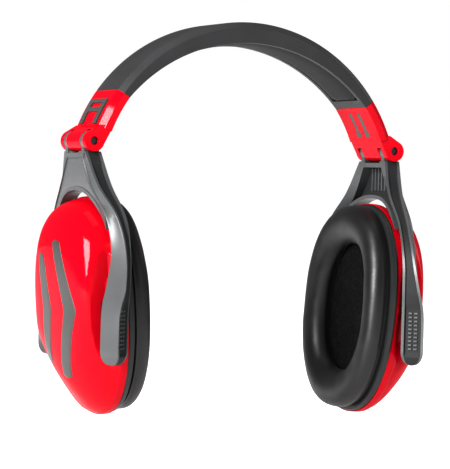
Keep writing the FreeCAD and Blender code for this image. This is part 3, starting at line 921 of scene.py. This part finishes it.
def studio_floor():
    """Wide pale floor, seen almost edge on, below the cups even when they are lowered."""
    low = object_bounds()[0].z / MM - FLOOR_DROP
    bm = bmesh.new()
    verts = [bm.verts.new((radius, 0, low)) for radius in (1, 800, 4000, 20000)]
    edges = [bm.edges.new(pair) for pair in zip(verts, verts[1:])]
    bmesh.ops.spin(bm, geom=verts + edges, cent=(0, 0, 0), axis=(0, 0, 1), angle=2 * math.pi, steps=96,
                   use_merge=True)
    middle = [e for e in bm.edges if e.is_boundary and e.verts[0].co.xy.length < 10]
    bmesh.ops.holes_fill(bm, edges=middle, sides=0)
    tidy_faces(bm)
    bmesh.ops.scale(bm, vec=(MM,) * 3, verts=bm.verts)
    mesh = bpy.data.meshes.new("studio_floor")
    bm.to_mesh(mesh)
    bm.free()
    mesh.shade_smooth()
    mesh.materials.append(finish("paper"))
    floor = bpy.data.objects.new("studio_floor", mesh)
    bpy.context.collection.objects.link(floor)
    floor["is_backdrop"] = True


def white_surround(tree):
    """White all round, dimmer where it is mirrored."""
    shade = tree.nodes["Background"]
    shade.inputs["Color"].default_value = (1, 1, 1, 1)
    mirrored = add(tree, "ShaderNodeLightPath").outputs["Is Glossy Ray"]
    level = add(tree, "ShaderNodeMapRange", {"To Min": 1.0, "To Max": 0.3}, {"Value": mirrored})
    tree.links.new(level.outputs["Result"], shade.inputs["Strength"])


def softbox(name, place, aim, width, height, power):
    data = bpy.data.lights.new(name, "AREA")
    data.shape = "RECTANGLE"
    data.size, data.size_y = width, height
    data.energy = power
    lamp = bpy.data.objects.new(name, data)
    bpy.context.collection.objects.link(lamp)
    lamp.location = place
    lamp.rotation_euler = (Vector(aim) - Vector(place)).to_track_quat("-Z", "Y").to_euler()
    return lamp


def camera():
    """Long lens from the front left, almost level, turned a little on its axis."""
    yaw, drop, roll = (math.radians(a) for a in (24.4, 0.9, 1.6))
    distance, aside, height = 1350.0, 3.7602, 37.2
    ahead = Vector((math.sin(yaw) * math.cos(drop), math.cos(yaw) * math.cos(drop), -math.sin(drop)))
    across = Vector((math.cos(yaw), -math.sin(yaw), 0))
    up = Vector((math.sin(yaw) * math.sin(drop), math.cos(yaw) * math.sin(drop), math.cos(drop)))
    right = across * math.cos(roll) + up * math.sin(roll)
    top = up * math.cos(roll) - across * math.sin(roll)
    data = bpy.data.cameras.new("studio_camera")
    data.sensor_width = 36.0
    data.lens = 203.9356
    data.clip_start, data.clip_end = 0.05, 50.0
    data.dof.use_dof = False
    made = bpy.data.objects.new("studio_camera", data)
    bpy.context.collection.objects.link(made)
    spot = Vector((0, 0, height)) - ahead * distance - right * aside
    turn = Matrix((right, top, -ahead)).transposed().to_4x4()
    made.matrix_world = Matrix.Translation(spot * MM) @ turn
    bpy.context.scene.camera = made


# ---------------------------------------------------------------- properties

class EarmuffSizes(bpy.types.PropertyGroup):
    edge_round: FloatProperty(name="Edge round", description="Radius on the yokes' moulded edges, in mm",
                              default=0.55, min=0.1, max=1.2)
    cap_round: FloatProperty(name="Cap edge round", description="Radius on the end caps' edges, in mm",
                             default=0.45, min=0.1, max=1.0)
    pad_crown: FloatProperty(name="Pad crown", description="How far the pad swells below the band, in mm",
                             default=1.3, min=0.2, max=4.0)
    cushion_crown: FloatProperty(name="Cushion crown", description="Height of a cushion over its base, in mm",
                                 default=9.6, min=6.0, max=14.0)
    cushion_swell: FloatProperty(name="Cushion swell", description="Most that the film is blown out, in mm",
                                 default=1.2, min=0.0, max=4.0)
    stripe_width: FloatProperty(name="Stripe width", description="Width of the bent inlaid stripes, in mm",
                                default=9.5, min=4.0, max=14.0)
    rib_pitch: FloatProperty(name="Rib pitch", description="Spacing of the grip ribs, in mm",
                             default=2.0, min=1.2, max=3.0)
    rib_count: IntProperty(name="Ribs", description="Grip ribs in each column", default=10, min=4, max=12)


class EarmuffColours(bpy.types.PropertyGroup):
    red: FloatVectorProperty(name="Shell red", description="Shells and end caps", subtype="COLOR",
                             min=0, max=1, default=linear("#AC031C"))
    band: FloatVectorProperty(name="Band grey", description="Headband", subtype="COLOR", min=0, max=1,
                              default=linear("#353536"))
    yoke: FloatVectorProperty(name="Yoke grey", description="Yokes", subtype="COLOR", min=0, max=1,
                              default=linear("#505152"))
    inlay: FloatVectorProperty(name="Inlay grey", description="Stripes, brackets and strips", subtype="COLOR",
                               min=0, max=1, default=linear("#424342"))
    ring: FloatVectorProperty(name="Ring grey", description="Ring between shell and cushion", subtype="COLOR",
                              min=0, max=1, default=linear("#2C2D2D"))
    cushion: FloatVectorProperty(name="Cushion black", description="Cushion film", subtype="COLOR",
                                 min=0, max=1, default=linear("#131314"))


# ---------------------------------------------------------------- operators

class EARMUFF_OT_headband(bpy.types.Operator):
    """Finish the headband and its spring, and make the crown pad"""
    bl_idname = "earmuff.headband"
    bl_label = "Headband"

    def execute(self, context):
        sizes = context.scene.earmuff_sizes
        softened("headband_shell", "band", "headband", 0.5)
        dress("spring_strip", "spring")
        pad = piece("crown_pad", crown_pad(sizes), "pad", "headband", smooth_degrees=60)
        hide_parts("headband_pad")
        return {"FINISHED"}


class EARMUFF_OT_caps(bpy.types.Operator):
    """Round and finish the end caps, their trims and the hinge pins"""
    bl_idname = "earmuff.caps"
    bl_label = "End caps"

    def execute(self, context):
        sizes = context.scene.earmuff_sizes
        for side in SIDES:
            softened(f"{side}_end_cap", "red", "headband", sizes.cap_round)
            softened(f"{side}_cap_bracket", "inlay", "headband", 0.25)
            softened(f"{side}_cap_strips", "inlay", "headband", 0.15)
            softened(f"{side}_hinge_pin", "pin", "headband", 0.3)
        return {"FINISHED"}


class EARMUFF_OT_yokes(bpy.types.Operator):
    """Model both yokes with their legs, arch, ears and ribbed paddles"""
    bl_idname = "earmuff.yokes"
    bl_label = "Yokes"

    def execute(self, context):
        sizes = context.scene.earmuff_sizes
        # The second finish is the yoke nylon darkened as painted shade in the recesses.
        both_sides("yoke_arm", yoke_mesh(sizes), "yoke", "arm", ["yoke"], "yoke_grey",
                   smooth_degrees=30, edge=sizes.edge_round, segments=3, second="recess")
        return {"FINISHED"}


class EARMUFF_OT_shells(bpy.types.Operator):
    """Model the cup shells"""
    bl_idname = "earmuff.shells"
    bl_label = "Cup shells"

    def execute(self, context):
        both_sides("outer_shell", shell_mesh(), "red", "cup", ["cup_shell"], "shell_red", smooth_degrees=50)
        return {"FINISHED"}


class EARMUFF_OT_stripes(bpy.types.Operator):
    """Lay the bent stripes on the shells"""
    bl_idname = "earmuff.stripes"
    bl_label = "Stripes"

    def execute(self, context):
        sizes = context.scene.earmuff_sizes
        both_sides("bent_stripes", stripe_mesh(sizes), "inlay", "cup", ["chevron_inlays"], "trim_grey",
                   smooth_degrees=50)
        return {"FINISHED"}


class EARMUFF_OT_rings(bpy.types.Operator):
    """Model the backplate rings"""
    bl_idname = "earmuff.rings"
    bl_label = "Backplate rings"

    def execute(self, context):
        both_sides("backplate_ring", plate_mesh(), "ring", "cup", ["backplate"], "plate_grey",
                   smooth_degrees=50)
        return {"FINISHED"}


class EARMUFF_OT_cushions(bpy.types.Operator):
    """Model, inflate and finish the ear cushions"""
    bl_idname = "earmuff.cushions"
    bl_label = "Cushions"

    def execute(self, context):
        sizes = context.scene.earmuff_sizes
        bm = puffed(cushion_mesh(sizes), sizes.cushion_swell)
        bm.normal_update()
        creased(bm)
        hang(bm)
        made = both_sides("ear_cushion", bm, "cushion", "cup", ["cushion_skin", "cushion_foam"],
                          "cushion_black", smooth_degrees=80, rounds=1)
        return {"FINISHED"}


class EARMUFF_OT_foams(bpy.types.Operator):
    """Model the foam sheets seen through the cushions and the foam in the cups"""
    bl_idname = "earmuff.foams"
    bl_label = "Foams"

    def execute(self, context):
        for sheet in both_sides("foam_sheet", foam_sheet(), "foam", "cup", ["cover_foam"], "foam_black",
                                smooth_degrees=60):
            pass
        both_sides("cup_filling", cup_filling(), "foam", "cup", ["cup_foam"], "foam_black", smooth_degrees=50)
        return {"FINISHED"}


class EARMUFF_OT_inner(bpy.types.Operator):
    """Finish the sliding blocks and the pieces inside the cups"""
    bl_idname = "earmuff.inner"
    bl_label = "Inner pieces"

    def execute(self, context):
        for side in SIDES:
            dress(f"{side}_front_pivot_block", "block")
            dress(f"{side}_rear_pivot_block", "block")
            dress(f"{side}_cushion_carrier", "ring")
        return {"FINISHED"}


class EARMUFF_OT_stage(bpy.types.Operator):
    """Set the floor, the soft lights and the camera"""
    bl_idname = "earmuff.stage"
    bl_label = "Stage"

    def execute(self, context):
        studio_floor()
        centre = (0, 0, 0.04)
        softbox("left_key", (-1.8, -0.7, 0.8), centre, 0.6, 1.3, 105)
        softbox("front_panel", (0.9, -1.9, 0.7), centre, 0.8, 1.2, 4)
        softbox("right_panel", (1.8, 0.3, 0.7), centre, 0.6, 1.4, 8)
        softbox("top_panel", (0, 0.1, 1.9), centre, 1.2, 1.2, 6)
        world = bpy.data.worlds.new("studio_world")
        world.use_nodes = True
        white_surround(world.node_tree)
        context.scene.world = world
        context.scene.view_settings.view_transform = "Standard"
        context.scene.view_settings.gamma = 0.74
        camera()
        return {"FINISHED"}


OPERATORS = (EARMUFF_OT_headband, EARMUFF_OT_caps, EARMUFF_OT_yokes, EARMUFF_OT_shells, EARMUFF_OT_stripes,
             EARMUFF_OT_rings, EARMUFF_OT_cushions, EARMUFF_OT_foams, EARMUFF_OT_inner, EARMUFF_OT_stage)


class EARMUFF_PT_panel(bpy.types.Panel):
    """Sizes, colours and pieces of the earmuffs"""
    bl_idname = "EARMUFF_PT_panel"
    bl_label = "Earmuffs"
    bl_space_type = "VIEW_3D"
    bl_region_type = "UI"
    bl_category = "Earmuffs"

    def draw(self, context):
        for group in (context.scene.earmuff_sizes, context.scene.earmuff_colours):
            for name in group.__annotations__:
                self.layout.prop(group, name)
        for operator in OPERATORS:
            self.layout.operator(operator.bl_idname)


CLASSES = (EarmuffSizes, EarmuffColours, *OPERATORS, EARMUFF_PT_panel)


def register():
    for cls in CLASSES:
        bpy.utils.register_class(cls)
    bpy.types.Scene.earmuff_sizes = PointerProperty(type=EarmuffSizes)
    bpy.types.Scene.earmuff_colours = PointerProperty(type=EarmuffColours)


def unregister():
    del bpy.types.Scene.earmuff_colours
    del bpy.types.Scene.earmuff_sizes
    for cls in reversed(CLASSES):
        bpy.utils.unregister_class(cls)


def main():
    register()
    bpy.ops.earmuff.headband()
    bpy.ops.earmuff.caps()
    bpy.ops.earmuff.yokes()
    bpy.ops.earmuff.shells()
    bpy.ops.earmuff.stripes()
    bpy.ops.earmuff.rings()
    bpy.ops.earmuff.cushions()
    bpy.ops.earmuff.foams()
    bpy.ops.earmuff.inner()
    bpy.ops.earmuff.stage()


if __name__ == "__main__":
    main()
